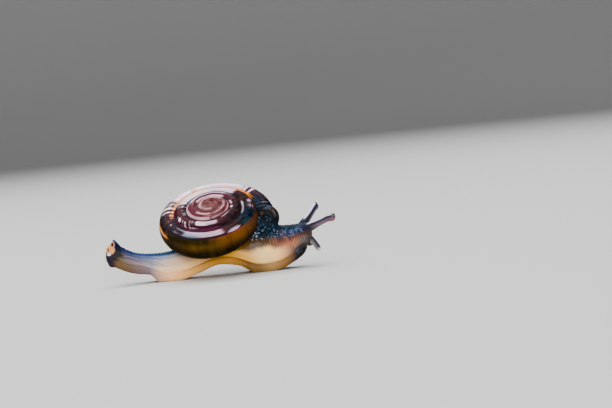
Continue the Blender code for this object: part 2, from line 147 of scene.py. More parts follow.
UPPER_RIGHT = (
    (21.8, -0.65, 6.0, 1.0), (23.25, -1.3, 6.42, 0.88), (24.3, -1.8, 6.8, 0.72),
    (25.25, -2.4, 7.17, 0.59), (26.4, -3.1, 7.62, 0.49), (27.1, -3.6, 7.9, 0.56),
    (27.6, -3.92, 7.98, 0.64), (28.0, -4.14, 8.02, 0.42))
UPPER_LEFT = (
    (22.2, 0.4, 6.35, 0.88), (22.86, 1.1, 7.12, 0.76), (23.6, 2.0, 7.94, 0.62),
    (24.22, 3.0, 8.6, 0.55), (24.74, 3.9, 9.22, 0.55), (25.08, 4.45, 9.6, 0.62),
    (25.32, 4.82, 9.88, 0.42))
LOWER_RIGHT = (
    (23.3, -0.4, 5.35, 0.5), (23.8, -0.62, 4.62, 0.48), (24.18, -0.86, 4.1, 0.45),
    (24.56, -1.1, 3.5, 0.43), (24.88, -1.3, 2.95, 0.44), (25.03, -1.4, 2.68, 0.3))
LOWER_LEFT = tuple((x, -y, z, radius) for x, y, z, radius in LOWER_RIGHT)
HORN = (
    (-9.1, 0.0, 6.5, 0.95), (-9.14, 0.0, 7.05, 0.72), (-9.15, 0.0, 7.45, 0.4),
    (-9.12, 0.0, 7.82, 0.12))
TIP_SIZE = 1.02           # a feeler's ball, as a share of its radius near the tip
LOBE_CENTRE = Vector((23.55, -0.6, 4.1))
LOBE_SIZE = Vector((0.85, 0.52, 0.72))

SECTION_STEP = 0.12       # between two sections of the skin's first shape
BACK_SIDES = 64
EDGE_STEPS = 10
VOXEL = 0.075             # size of the skin's faces
EVENING_ROUNDS = 12       # rounds that take the steps out of the melted skin
CREASE_ROUNDS = 100       # rounds that fill its creases
TUBERCLES = 0.62          # across a bump of the neck, in millimetres
SMALL_TUBERCLES = 0.36    # across a bump of the head
GRAIN = 0.24              # across a bump of the feelers
UPRIGHT_PITCH = 0.42      # between the wrinkles of the front flank
SWEPT_PITCH = 0.46        # between those of the rear flank
FRINGE_PITCH = 0.55       # between those of the foot's edge
TOOTH_PITCH = 0.52        # between the teeth of the keel
SKIN_NODES = (
    "mantle_collar", "tail_end", "tail", "trunk_rear", "trunk_front", "neck", "head", "foot_tail",
    "foot_rear", "foot_middle", "foot_front", "upper_feeler_right", "upper_feeler_left",
    "lower_feeler_right", "lower_feeler_left", "mouth_lobe_right", "mouth_lobe_left", "tail_horn")

# ---- the camera
CAMERA_TARGET = Vector((23.6, 0.0, 10.43))
CAMERA_DISTANCE = 285.6
CAMERA_PITCH = 3.0        # degrees down
CAMERA_ROLL = 5.9         # degrees by which the picture's right side is turned up
LENS = 100.0
SENSOR = 36.0

# ---- the lights
WORLD_LIGHT = 0.12
# name, place in metres, width and depth in metres, brightness
SOFTBOXES = (("over", (-0.15, -0.35, 0.75), (0.75, 1.1), 4.6),
             ("front", (0.25, -1.05, 0.22), (0.6, 0.4), 11.0),
             ("behind", (-0.15, 0.48, 0.8), (0.9, 0.4), 9.0),
             ("right", (0.32, 0.22, 0.95), (0.1, 0.5), 8.0))
FLOOR_RADIUS = 1.5        # metres, where the floor turns up
SWEEP = 0.5


# ---- tools
def smooth(low, high, value):
    """0 below low, 1 above high, and a soft step between."""
    t = np.clip((value - low) / (high - low), 0.0, 1.0)
    return t * t * (3.0 - 2.0 * t)


def bell(value, centre, width):
    """1 at the centre, falling to 0 within a few widths."""
    return np.exp(-((value - centre) / width) ** 2)


def mesh_from(name, points, faces):
    mesh = bpy.data.meshes.new(name)
    mesh.from_pydata(points, [], faces)
    mesh.validate()
    return mesh


def add_object(name, data):
    item = bpy.data.objects.new(name, data)
    bpy.context.scene.collection.objects.link(item)
    return item


def settle(item):
    """The finished mesh of an object that has done its work."""
    depsgraph = bpy.context.evaluated_depsgraph_get()
    mesh = bpy.data.meshes.new_from_object(item.evaluated_get(depsgraph))
    bpy.data.objects.remove(item, do_unlink=True)
    return mesh


def numbered(shape, start=0):
    """A grid of point numbers."""
    return start + np.arange(math.prod(shape)).reshape(shape)


def quads(left, right):
    """The faces between two grids of point numbers, each column beside its neighbour."""
    corners = (left[:-1], left[1:], right[1:], right[:-1])
    return np.stack(corners, -1).reshape(-1, 4).tolist()


def read(vectors, name="co"):
    """The points of a mesh, or its normals."""
    values = np.empty(len(vectors) * 3, np.float32)
    vectors.foreach_get(name, values)
    return values.reshape(-1, 3).astype(float)


def write_points(mesh, points):
    mesh.vertices.foreach_set("co", points.astype(np.float32).ravel())
    mesh.update()


def face_out(mesh):
    """Turns the faces of a closed body to point outward."""
    body = bmesh.new()
    body.from_mesh(mesh)
    bmesh.ops.recalc_face_normals(body, faces=body.faces)
    body.to_mesh(mesh)
    body.free()


def finish(name, mesh, masks):
    """Keeps the masks for the materials, and sets the mesh on the model, in metres."""
    for key, values in masks.items():
        attribute = mesh.attributes.new(key, "FLOAT", "POINT")
        attribute.data.foreach_set("value", values.astype(np.float32))
    mesh.transform(Matrix.Scale(MM, 4) @ Matrix.Translation(SHIFT))
    mesh.shade_smooth()
    return add_object(name, mesh)


def arc(start, end, start_degrees, end_degrees, steps):
    """Smooth arcs, one for each row of start and end, leaving and arriving at the given slopes."""
    handle = np.linalg.norm(end - start, axis=1)[:, None] * ARC_HANDLE
    start_angle = np.radians(np.broadcast_to(start_degrees, len(start)))
    end_angle = math.radians(end_degrees)
    near = start + handle * np.stack((np.cos(start_angle), np.sin(start_angle)), 1)
    far = end - handle * np.array((math.cos(end_angle), math.sin(end_angle)))
    t = (np.arange(steps + 1) / steps)[None, :, None]
    s = 1.0 - t
    return (start[:, None] * s ** 3 + near[:, None] * 3 * s * s * t
            + far[:, None] * 3 * s * t * t + end[:, None] * t ** 3)


# ---- shell
def suture(turns):
    radius = SUTURE_STEP * turns + SUTURE_GROWTH * turns ** 2
    return np.stack((radius, -SPIRE_SLOPE * radius - SPIRE_DOME * radius ** 2), 1)


def whorl_band(turns):
    rise = SUTURE_RISE * np.minimum(1.0, turns)
    return arc(suture(turns), suture(turns + 1), rise, SHOULDER_FALL, BAND_STEPS)


def whorl_base(turns):
    lower = suture(turns + 1)
    lowest = np.stack((lower[:, 0] * BASE_RADIUS, lower[:, 1] - lower[:, 0] * BASE_DEPTH), 1)
    navel = np.stack((lower[:, 0] * NAVEL_RADIUS, lowest[:, 1] + lower[:, 0] * NAVEL_HEIGHT), 1)
    side = arc(lower, lowest, SHOULDER_FALL, -180.0, SIDE_STEPS)
    under = arc(lowest, navel, 180.0, NAVEL_SLOPE, BASE_STEPS)
    return np.concatenate((side, under[:, 1:]), 1)


def shell_place():
    lean = Matrix.Rotation(math.radians(SHELL_LEAN), 4, "X")
    pitch = Matrix.Rotation(math.radians(-SHELL_PITCH), 4, "Y")
    return Matrix.Translation(APEX) @ pitch @ lean


def wind(turns, outlines):
    """Sets outlines of (radius, height) round the shell's axis, each at its own turn."""
    angle = (math.radians(LIP_ANGLE) + math.tau * (SHELL_TURNS - turns))[:, None]
    radius, height = outlines[..., 0], outlines[..., 1]
    return np.stack((radius * np.cos(angle), radius * np.sin(angle), height), -1)


def between(value, low, high, soft):
    """1 from low to high, with soft ends."""
    return smooth(low - soft, low + soft, value) * smooth(high + soft, high - soft, value)


def marks(table, turns, across):
    """How strongly one kind of mark shows at each point."""
    total = np.zeros(len(turns))
    for first, last, low, high, strength in table:
        share = between(turns, first, last, MARK_EDGES[0])
        share *= between(across, low, high, MARK_EDGES[1])
        total = np.maximum(total, strength * share)
    return total


def growth_lines(turns, across):
    """Height of the ribs that follow the shell's growth, in millimetres."""
    path = math.tau * (SUTURE_STEP * turns ** 2 / 2 + SUTURE_GROWTH * turns ** 3 / 3)
    samples = np.linspace(0.0, path.max(), RIB_SAMPLES)
    fine = np.array([noise.noise(Vector((s / RIB_SIZES[0], 0.0, 3.0))) for s in samples])
    coarse = np.array([noise.noise(Vector((s / RIB_SIZES[1], 5.0, 0.0))) for s in samples])
    slant = path + 0.9 * across ** 2 * np.minimum(1.0, turns / 2)
    rough = sum(between(turns, first, last, 0.04) for first, last in RIBBED)
    ribs = (0.014 + 0.012 * rough) * np.abs(np.interp(slant, samples, fine))
    ribs += (0.012 + 0.04 * rough) * np.interp(slant, samples, coarse)
    strength = 1.0 - 0.75 * smooth(0.5, 1.4, across)
    return ribs * strength * smooth(0.3, 1.4, turns), rough


def shell_marks(turns, across, ribs, rough):
    """Where the shell shows pale painted reflections, amber with a painted glow, painted teal
    glints, crimson, olive, or dark over the animal, 0 to 1.
    """
    high = smooth(-0.3, 0.7, ribs / RIB_HEIGHT)
    wave = 0.85 + 0.15 * np.sin(turns * 37.0) * np.sin(turns * 13.0 + 2.0)
    last = smooth(3.04, 3.14, turns)
    # In the ribbed turns the painted pale reflections and the amber glow keep to the tops of the
    # ribs.
    pale = marks(PALE_REFLECTIONS, turns, across) * (1 - rough * (1 - high)) * wave
    amber = marks(AMBER_GLOW, turns, across) * (1 - 0.6 * rough * (1 - high) * (across < 0.9))
    mantle = smooth(SHELL_TURNS - 0.11, SHELL_TURNS - 0.05, turns) * smooth(1.35, 1.1, across)
    mantle += last * smooth(3.24, 3.15, turns) * smooth(1.0, 0.8, across)
    mantle = np.clip(mantle, 0.0, 1.0) * (1 - 0.9 * np.maximum(pale, amber))
    return {"pale": pale, "amber": amber, "teal": marks(TEAL_GLINTS, turns, across),
            "crimson": marks(CRIMSON, turns, across), "mantle": mantle,
            "olive": last * smooth(0.76, 0.86, across)}


def make_shell():
    """The shell, wound as its solid is, with growth lines and a hollow mouth with a lip."""
    rings = round(SHELL_TURNS * RINGS_PER_TURN)
    turns = np.arange(rings + 1) / RINGS_PER_TURN
    first = rings - RINGS_PER_TURN
    band = whorl_band(turns)[:, :-1]
    edge = suture(turns[first + 1:] + 1)[:, None]
    base = whorl_base(turns[first:])[:, 1:]
    side = np.arange(1, SIDE_STEPS + 1) / SIDE_STEPS + 1
    under = np.arange(1, BASE_STEPS + 1) / BASE_STEPS + 2
    cloud, all_turns, all_across = [], [], []
    for sheet_turns, outlines, across in ((turns, band, np.arange(BAND_STEPS) / BAND_STEPS),
                                          (turns[first + 1:], edge, np.ones(1)),
                                          (turns[first:], base, np.concatenate((side, under)))):
        cloud.append(wind(sheet_turns, outlines).reshape(-1, 3))
        all_turns.append(np.repeat(sheet_turns, len(across)))
        all_across.append(np.tile(across, len(sheet_turns)))
    cloud = np.concatenate(cloud)

    band_index = numbered(band.shape[:2])
    edge_index = numbered((len(edge),), band_index.size)
    base_index = numbered(base.shape[:2], edge_index[-1] + 1)
    next_suture = np.concatenate((band_index[RINGS_PER_TURN:, 0], edge_index))
    grid = np.concatenate((band_index, next_suture[:, None]), 1)
    last = np.concatenate((next_suture[first:, None], base_index), 1)
    faces = quads(grid[:, :-1], grid[:, 1:]) + quads(last[:, :-1], last[:, 1:])
    faces.append(band_index[1:RINGS_PER_TURN, 0].tolist() + grid[0, ::-1].tolist())

    mouth = np.concatenate((grid[-1], last[-1, 1:], last[0, :0:-1]))
    rim = cloud[mouth]
    middle = rim.mean(0)
    inner = middle + (rim - middle) * LIP_THICKNESS
    back = Matrix.Rotation(math.radians(MOUTH_DEPTH), 3, "Z")
    deep = (middle + (rim - middle) * MOUTH_NARROWING) @ np.array(back).T
    inner_index = numbered((len(rim),), len(cloud))
    deep_index = inner_index + len(rim)
    for outer_ring, inner_ring in ((mouth, inner_index), (inner_index, deep_index)):
        loop = (outer_ring, np.roll(outer_ring, -1), np.roll(inner_ring, -1), inner_ring)
        faces += np.stack(loop, 1).tolist()
    faces += [deep_index.tolist(), last[:, -1].tolist()]

    mesh = mesh_from("shell_fine", np.concatenate((cloud, inner, deep)), faces)
    face_out(mesh)
    rim_across = np.concatenate(all_across)[mouth]
    turns = np.concatenate((*all_turns, np.full(2 * len(rim), SHELL_TURNS)))
    across = np.concatenate((*all_across, rim_across, rim_across))
    points = read(mesh.vertices)
    ribs, rough = growth_lines(turns, across)
    ribs = np.where(np.arange(len(points)) < len(cloud), ribs, 0.0)
    write_points(mesh, points + read(mesh.vertex_normals, "vector") * ribs[:, None])
    masks = shell_marks(turns, across, ribs, rough)
    masks.update(turns=turns, ribs=ribs / RIB_HEIGHT, across=across)
    mesh.transform(shell_place())
    return finish("fine_shell", mesh, masks)


# ---- skin
def body_value(column, x):
    """A column of BODY at any x, by the curve of the solids, which never overshoots."""
    xs, ys = BODY[:, 0], BODY[:, column]
    rise = np.diff(ys) / np.diff(xs)
    product = rise[:-1] * rise[1:]
    total = np.where(product > 0.0, rise[:-1] + rise[1:], 1.0)
    slope = np.concatenate((rise[:1], np.where(product > 0.0, 2 * product / total, 0.0), rise[-1:]))
    x = np.clip(x, xs[0], xs[-1])
    spot = np.clip(np.searchsorted(xs, x) - 1, 0, len(xs) - 2)
    width = xs[spot + 1] - xs[spot]
    t = (x - xs[spot]) / width
    return (ys[spot] * (1 + 2 * t) * (1 - t) ** 2 + ys[spot + 1] * t * t * (3 - 2 * t)
            + slope[spot] * width * t * (1 - t) ** 2 - slope[spot + 1] * width * t * t * (1 - t))


def groove_line(x):
    """Height of the groove along the foot; it follows the sole, without its bends."""
    sole = np.mean([body_value(SOLE, x + step) for step in GROOVE_STEPS], 0)
    return SOLE_THICKNESS + CUT / 2 + sole


def shrink(outline, x, tail_end, head_end):
    """Draws the sections together towards the rounded ends."""
    for (_, height, radius), depth in ((tail_end, tail_end[0] + tail_end[2] - x),
                                         (head_end, x - head_end[0] + head_end[2])):
        scale = np.sqrt(np.clip(1.0 - (np.maximum(depth, 0.0) / radius) ** 2, 0.0, 1.0))[:, None]
        outline = np.stack((outline[..., 0] * scale,
                            height + (outline[..., 1] - height) * scale), -1)
    return outline


def back_sections(x):
    floor = (groove_line(x) + CUT / 2)[:, None]
    top = body_value(BACK, x)[:, None]
    angle = np.linspace(-0.15, math.pi + 0.15, BACK_SIDES)[None]
    cosine = np.cos(angle)
    across = -np.sign(cosine) * np.abs(cosine) ** body_value(SHARPNESS, x)[:, None]
    y = body_value(BACK_WIDTH, x)[:, None] * across
    z = floor + (top - floor) * np.sin(angle)
    return shrink(np.stack((y, z), -1), x, TAIL_END, HEAD_END)


def sole_sections(x):
    floor = body_value(SOLE, x)[:, None]
    width = body_value(SOLE_WIDTH, x)[:, None] + SOLE_FLARE
    turn = np.radians(np.linspace(-90.0, 90.0, EDGE_STEPS))[None]
    y = width - SOLE_ROUND * (1.0 - np.cos(turn))
    z = floor + (groove_line(x)[:, None] - CUT / 2 - floor) * (0.5 + 0.5 * np.sin(turn))
    y, z = np.concatenate((y, -y[:, ::-1]), 1), np.concatenate((z, z[:, ::-1]), 1)
    return shrink(np.stack((y, z), -1), x, SOLE_TAIL_END, SOLE_HEAD_END)


def loft(name, sections_at, tail_end, head_end):
    """One long closed body through its sections."""
    turn = np.radians(np.linspace(4.0, 86.0, 14))
    tail = tail_end[0] + tail_end[2] * (1.0 - np.sin(turn[::-1]))
    head = head_end[0] - head_end[2] * (1.0 - np.sin(turn))
    count = math.ceil((head[0] - tail[-1]) / SECTION_STEP)
    x = np.concatenate((tail[:-1], np.linspace(tail[-1], head[0], count), head[1:]))
    outline = sections_at(x)
    sides = outline.shape[1]
    points = np.concatenate((np.broadcast_to(x[:, None, None], (len(x), sides, 1)), outline), -1)
    index = numbered((len(x), sides))
    faces = quads(index, np.roll(index, -1, 1))
    faces += [index[0].tolist(), index[-1, ::-1].tolist()]
    mesh = mesh_from(name, points.reshape(-1, 3), faces)
    face_out(mesh)
    return mesh


def ball(name, shape):
    """A unit ball taken through a matrix."""
    bpy.ops.mesh.primitive_uv_sphere_add(segments=64, ring_count=32, radius=1.0)
    item = bpy.context.object
    mesh = item.data
    bpy.data.objects.remove(item, do_unlink=True)
    mesh.name = name
    mesh.transform(shape)
    return mesh


def egg(name, centre, size):
    return ball(name, Matrix.Translation(centre) @ Matrix.Diagonal((*size, 1.0)))


def collar_shape():
    """The matrix of the collar's egg."""
    radius, height = COLLAR_CENTRE
    turn = Matrix.Rotation(math.radians(LIP_ANGLE), 4, "Z")
    centre = Matrix.Translation(Vector((radius, 0.0, height)))
    return shell_place() @ turn @ centre @ Matrix.Diagonal((*COLLAR_SIZE, 1.0))


def tube(name, path):
    """A tapered tube along a path, with closed ends."""
    curve = bpy.data.curves.new(name, "CURVE")
    curve.dimensions = "3D"
    curve.bevel_depth = 1.0
    curve.bevel_resolution = 8
    curve.use_fill_caps = True
    curve.resolution_u = 12
    spline = curve.splines.new("BEZIER")
    spline.bezier_points.add(len(path) - 1)
    for knot, (x, y, z, radius) in zip(spline.bezier_points, path):
        knot.co = (x, y, z)
        knot.radius = radius
        knot.handle_left_type = "AUTO"
        knot.handle_right_type = "AUTO"
    return settle(add_object(name, curve))


def mantle_roll():
    """The path of the mantle's edge inside the shell's lip, from the suture round to the base."""
    turns = np.array([SHELL_TURNS])
    outline = np.concatenate((whorl_band(turns)[:, :-1], whorl_base(turns)[:, :-BASE_STEPS]), 1)
    middle = outline[0].mean(0)
    outline = middle + (outline - middle) * ROLL_SCALE
    ring = wind(turns, outline)[0, ::5]
    place = shell_place()
    return tuple((*(place @ Vector(point)), ROLL_RADIUS) for point in ring)


def union(meshes):
    """Melts overlapping bodies into one even skin."""
    body = bmesh.new()
    for mesh in meshes:
        body.from_mesh(mesh)
        bpy.data.meshes.remove(mesh)
    merged = bpy.data.meshes.new("skin_parts")
    body.to_mesh(merged)
    body.free()
    item = add_object("skin_parts", merged)
    remesh = item.modifiers.new("melt", "REMESH")
    remesh.mode = "VOXEL"
    remesh.voxel_size = VOXEL
    return settle(item)


def relax(mesh, rounds, weight=None):
    """Evens out the skin: without drawing it in, or with a weight, filling its creases."""
    points = read(mesh.vertices)
    edges = np.empty(len(mesh.edges) * 2, np.int32)
    mesh.edges.foreach_get("vertices", edges)
    near, far = edges.reshape(-1, 2).T
    count = np.bincount(edges, minlength=len(points))[:, None]
    for step in range(rounds):
        share = -0.52 if weight is None and step % 2 else 0.5
        total = np.stack([np.bincount(near, part[far], len(part))
                          + np.bincount(far, part[near], len(part)) for part in points.T], 1)
        points += share * (total / count - points) * (1.0 if weight is None else weight[:, None])
    write_points(mesh, points)


def path_reach(points, path):
    """How far along a path each point lies, 0 to 1, and its distance in path radii."""
    path = np.array(path)
    steps = np.linspace(0.0, len(path) - 1, 60)
    knots = np.stack([np.interp(steps, np.arange(len(path)), path[:, k]) for k in range(4)], 1)
    gap = np.linalg.norm(points[:, None] - knots[None, :, :3], axis=2)
    nearest = gap.argmin(1)
    return steps[nearest] / (len(path) - 1), gap.min(1) / knots[nearest, 3]


def cells(points, size):
    """Rounded bumps of one size: 1 on top of each, 0 in the furrows between."""
    found = np.array([noise.voronoi(Vector(point / size))[0][:2] for point in points])
    return np.clip((found[:, 1] - found[:, 0]) * 1.6, 0.0, 1.0)


def ripple(points, size, seed):
    """Smooth noise from -1 to 1."""
    shift = Vector((seed, 0.0, 0.0))
    return np.array([noise.noise(Vector(point / size) + shift) for point in points])


def make_skin():
    """All the flesh as one skin: parts melted together, then folded and grained."""
    collar = collar_shape()
    parts = [loft("back", back_sections, TAIL_END, HEAD_END),
             loft("foot", sole_sections, SOLE_TAIL_END, SOLE_HEAD_END),
             ball("collar", collar), tube("mantle", mantle_roll())]
    for path in (UPPER_RIGHT, UPPER_LEFT, LOWER_RIGHT, LOWER_LEFT):
        *place, radius = path[-2]
        parts += [tube("feeler", path), egg("tip", place, [radius * TIP_SIZE] * 3)]
    parts.append(tube("horn", HORN))
    lobes = [(LOBE_CENTRE * Vector((1.0, across, 1.0)), LOBE_SIZE) for across in (1.0, -1.0)]
    for centre, size in (*SHOULDERS, TAIL_PAD, *lobes):
        parts.append(egg("pad", centre, size))
    mesh = union(parts)
    relax(mesh, EVENING_ROUNDS)
    relax(mesh, CREASE_ROUNDS, crease_weight(read(mesh.vertices)))
    points, normals = read(mesh.vertices), read(mesh.vertex_normals, "vector")
    masks = skin_masks(points, normals, collar)
    lift = fold_skin(points, masks)
    points += normals * lift[:, None]
    points[:, 2] = np.maximum(points[:, 2], 0.0)
    write_points(mesh, points)
    return finish("skin", mesh, masks)


def crease_weight(points):
    """Where parts of the flesh run into each other and the skin fills the crease."""
    x, y, z = points.T
    neck = bell(x, 16.0, 2.8) * bell(z, 7.8, 1.4) * smooth(1.2, 0.0, y)
    tail = smooth(-8.8, -9.4, x) * bell(z, 4.6, 0.9)
    horn = 0.6 * bell(x, -8.4, 0.5) * smooth(6.3, 6.7, z)
    return np.clip(neck + tail + horn, 0.0, 1.0)


def skin_masks(points, normals, collar):
    """Where on the snail each point lies: its x, its height, and zones with soft edges."""
    x, y, z = points.T
    groove = groove_line(x)
    top = body_value(BACK, x)
    height = (z - groove) / (top - groove)
    local = np.array(collar.inverted())
    in_collar = points @ local[:3, :3].T + local[:3, 3]
    collar_mask = 1 - smooth(1.02, 1.16, np.linalg.norm(in_collar, axis=1))
    masks = {"along": x, "height": height, "collar": collar_mask, "up": normals[:, 2]}
    front = x > 21.0
    for name, paths in (("upper", (UPPER_RIGHT, UPPER_LEFT)),
                        ("lower", (LOWER_RIGHT, LOWER_LEFT))):
        reach = np.zeros(len(points))
        for path in paths:
            along, gap = path_reach(points[front], path)
            hit = (1 - smooth(1.15, 1.5, gap)) * smooth(0.12, 0.3, along)
            reach[front] = np.maximum(reach[front], hit * along)
        masks[name] = reach
    # The rim mask is painted highlight: along the far feeler's upper left side and the near
    # feeler's top, with a spot on its tip.
    far = smooth(0.28, 0.6, normals @ (-0.75, 0.0, 0.66))
    far *= smooth(0.4, 0.8, y) * smooth(22.4, 23.4, x)
    near = smooth(0.72, 0.9, normals @ (-0.33, 0.0, 0.94))
    near *= smooth(0.4, -0.4, y) * smooth(22.4, 22.9, x)
    near *= 1.0 - 0.6 * smooth(25.0, 26.0, x) + 0.8 * bell(x, 27.2, 0.3)
    masks["rim"] = smooth(0.05, 0.2, masks["upper"]) * np.maximum(far, near)
    masks["smooth"] = 1 - smooth(1.1, 1.6, path_reach(points, HORN)[1])

    # A painted bluish highlight along the top edge of the collar.
    edge = bell(z, 10.85, 0.28) * smooth(15.0, 15.6, x) * smooth(18.2, 17.4, x)
    masks["sheen"] = np.clip(0.8 * collar_mask * edge, 0.0, 1.0)
    # A painted pink-grey highlight in an arc on the collar's right side.
    ring = bell(np.hypot(x - 16.9, z - 9.2), 1.35, 0.22) * smooth(17.0, 17.6, x)
    masks["flush"] = np.clip(0.8 * collar_mask * ring * smooth(8.6, 9.4, z), 0.0, 1.0)
    slant = smooth(13.0, 17.2, x) * (1 - 0.5 * smooth(16.2, 18.0, x)) - smooth(20.0, 21.2, x)
    masks["side"] = height - 0.24 * slant
    # A fold behind the head: its raised ridge gets a painted highlight, the crease above it painted
    # shade.
    crease = z - 6.0 + 0.96 * (x - 18.8)
    fold = bell(crease, 0.0, 0.2) - bell(crease, 0.42, 0.26)
    masks["fold"] = fold * smooth(18.4, 19.1, x) * smooth(21.0, 20.0, x)
    return masks


def fold_skin(points, masks):
    """Tubercles, wrinkles, the keel's teeth and the breathing hole, as a lift in mm."""
    x, _, z = points.T
    height, collar = masks["height"], masks["collar"]
    feelers = np.maximum(masks["upper"], masks["lower"])
    body = (1.0 - collar) * (1 - smooth(0.0, 0.1, feelers)) * (1.0 - masks["smooth"])

    coarse = cells(points, TUBERCLES)
    fine = cells(points * np.array((1.0, 1.0, 0.75)), SMALL_TUBERCLES)
    neck = (1 - smooth(0.0, 0.1, feelers)) * smooth(12.6, 13.6, x)
    coarse_zone = neck * smooth(18.6, 17.2, x) * smooth(0.52, 0.66, height) * smooth(9.9, 9.2, z)
    fine_zone = body * smooth(16.8, 18.2, x) * smooth(0.45, 0.7, height)
    crest = coarse * coarse_zone + fine * fine_zone
    lift = 0.17 * (coarse - 0.4) * coarse_zone
    lift += (0.08 + 0.06 * smooth(0.8, 0.95, height)) * (fine - 0.4) * fine_zone
    hole = np.linalg.norm((points - BREATHING_HOLE) / HOLE_SIZE, axis=1)
    lift += 0.1 * bell(hole, 1.35, 0.35) - 0.32 * bell(hole, 0.0, 0.75)

    warp = ripple(points, 2.2, 7.0)
    flank = body * smooth(0.02, 0.2, height) * (1 - smooth(0.75, 0.95, height))
    upright = np.sin((x + 0.28 * z + 0.25 * warp) * math.tau / UPRIGHT_PITCH)
    lift += 0.022 * upright * flank * smooth(14.5, 17.5, x)
    swept = np.sin((z + 0.42 * x + 0.45 * warp) * math.tau / SWEPT_PITCH)
    tail = 1 - smooth(-3.5, 3.5, x)
    lift += 0.03 * swept * flank * tail
    teeth = np.abs(np.sin((x + 0.06 * warp) * math.pi / TOOTH_PITCH))
    keel = body * smooth(0.86, 0.97, height) * (1 - smooth(-2.5, 0.5, x))
    lift += 0.1 * (teeth - 0.4) * keel

    fringe = bell(height, -0.22, 0.12) * body
    lift += 0.018 * np.sin((x + 0.1 * warp) * math.tau / FRINGE_PITCH) * fringe
    deep = 0.02 + 0.04 * smooth(4.0, 7.0, np.abs(x - 7.0))
    lift += body * (0.07 * masks["fold"] - deep * bell(height, 0.0, 0.035))
    grain = cells(points, GRAIN)
    lift += 0.022 * (grain - 0.4) * (smooth(0.15, 0.4, feelers) + fringe * smooth(17, 20, x))
    lift += 0.05 * ripple(points, 1.6, 2.0) * collar

    # The foot's front, near x 21.4, gets its painted glints from the grain here.
    front = bell(np.hypot((x - 21.4) / 0.5, (z - 3.0) / 0.5), 0.0, 1.2)
    crest = np.where(height < 0.3, grain * front, crest * smooth(23.0, 22.3, x))
    masks["crest"] = crest
    shown = np.maximum(tail, smooth(12.5, 16.0, x))
    masks["sweep"] = 0.5 + 0.5 * shown * np.where(x < 5.0, swept, upright)
    return lift


# ---- materials
class Paint:
    """A material and the few kinds of node that this scene builds it from."""

    def __init__(self, name):
        self.material = bpy.data.materials.new(name)
        self.material.use_nodes = True
        tree = self.material.node_tree
        self.nodes, self.links = tree.nodes, tree.links
        self.shader = self.nodes["Principled BSDF"]

    def put(self, socket, value):
        if isinstance(value, bpy.types.NodeSocket):
            self.links.new(value, socket)
        elif isinstance(value, tuple) and len(value) == 3 and socket.type == "RGBA":
            socket.default_value = (*value, 1.0)
        else:
            socket.default_value = value

    def set(self, **inputs):
        """Sets the shader's inputs, with _ for a space in their names."""
        for name, value in inputs.items():
            self.put(self.shader.inputs[name.replace("_", " ")], value)

    def node(self, kind, inputs, **settings):
        """A new node with its settings, and with its inputs by name or number."""
        node = self.nodes.new("ShaderNode" + kind)
        for name, value in settings.items():
            setattr(node, name, value)
        for key, value in inputs.items():
            self.put(node.inputs[key], value)
        return node

    def values(self, names):
        """What the mesh stores under these names."""
        return [self.node("Attribute", {}, attribute_name=name).outputs["Fac"]
                for name in names.split()]

    def place(self):
        return self.node("TexCoord", {}).outputs["Object"]

    def math(self, operation, result, *values, clamp=False):
        """One operation over two or more values, from the first to the last."""
        for value in values:
            node = self.node("Math", {0: result, 1: value}, operation=operation, use_clamp=clamp)
            result = node.outputs[0]
        return result

    def times(self, *values):
        return self.math("MULTIPLY", *values)

    def plus(self, *values):
        return self.math("ADD", *values)

    def most(self, *values):
        return self.math("MAXIMUM", *values)

    def swing(self, value, size):
        """A noise from 0 to 1, set round 0 and scaled."""
        return self.times(self.math("SUBTRACT", value, 0.5), size)

    def step(self, value, low, high, to_low=0.0, to_high=1.0):
        """A soft step of a value."""
        ends = {"From Min": low, "From Max": high, "To Min": to_low, "To Max": to_high}
        node = self.node("MapRange", {"Value": value, **ends}, interpolation_type="SMOOTHSTEP")
        return node.outputs[0]

    def window(self, value, *edges):
        """One soft step up and another one down."""
        return self.times(self.step(value, *edges[:2]), self.step(value, *edges[2:]))

    def ramp(self, value, stops, low=0.0, high=1.0):
        """Colours along a value, by a table whose places run from low to high."""
        span = self.node("MapRange", {"Value": value, "From Min": low, "From Max": high})
        node = self.node("ValToRGB", {0: span.outputs[0]})
        elements = node.color_ramp.elements
        while len(elements) < len(stops):
            elements.new(0.5)
        for element, (place, *colour) in zip(elements, stops):
            element.position = (place - low) / (high - low)
            element.color = (*(part / 1000 for part in colour), 1.0)
        return node.outputs[0]

    def mix(self, share, a, b, blend="MIX"):
        inputs = {0: share, 6: a, 7: b}
        return self.node("Mix", inputs, data_type="RGBA", blend_type=blend).outputs[2]

    def coats(self, colour, *coats):
        """A colour under others, each given as where it shows and its own colour."""
        for share, coat in coats:
            colour = self.mix(share, colour, coat)
        return colour

    def noise(self, size, detail=3.0):
        """Soft noise of a size in millimetres."""
        inputs = {"Vector": self.place(), "Scale": 1.0 / (size * MM), "Detail": detail}
        return self.node("TexNoise", inputs).outputs["Fac"]

    def streaks(self, first, first_count, second, second_count):
        """Soft noise over two values, with so many blotches along one unit of each."""
        counts = {0: self.times(first, first_count), 1: self.times(second, second_count)}
        vector = self.node("CombineXYZ", counts).outputs[0]
        inputs = {"Vector": vector, "Scale": 1.0, "Detail": 3.0}
        return self.node("TexNoise", inputs).outputs["Fac"]

    def spot(self, place, size):
        """A soft egg in the snail's own millimetres: 1 inside it, 0 outside."""
        inputs = {"Vector": self.place(), "Location": (Vector(place) + SHIFT) * MM,
                  "Scale": Vector(size) * MM}
        egg = self.node("Mapping", inputs, vector_type="TEXTURE")
        length = self.node("VectorMath", {0: egg.outputs[0]}, operation="LENGTH")
        return self.step(length.outputs["Value"], 1.1, 0.7)

    def cells(self, size):
        inputs = {"Vector": self.place(), "Scale": 1.0 / (size * MM)}
        return self.node("TexVoronoi", inputs).outputs["Distance"]

    def bump(self, height, depth, strength):
        """Fine relief in the shading, of a depth in millimetres."""
        inputs = {"Height": height, "Distance": depth * MM, "Strength": strength}
        self.set(Normal=self.node("Bump", inputs).outputs[0])
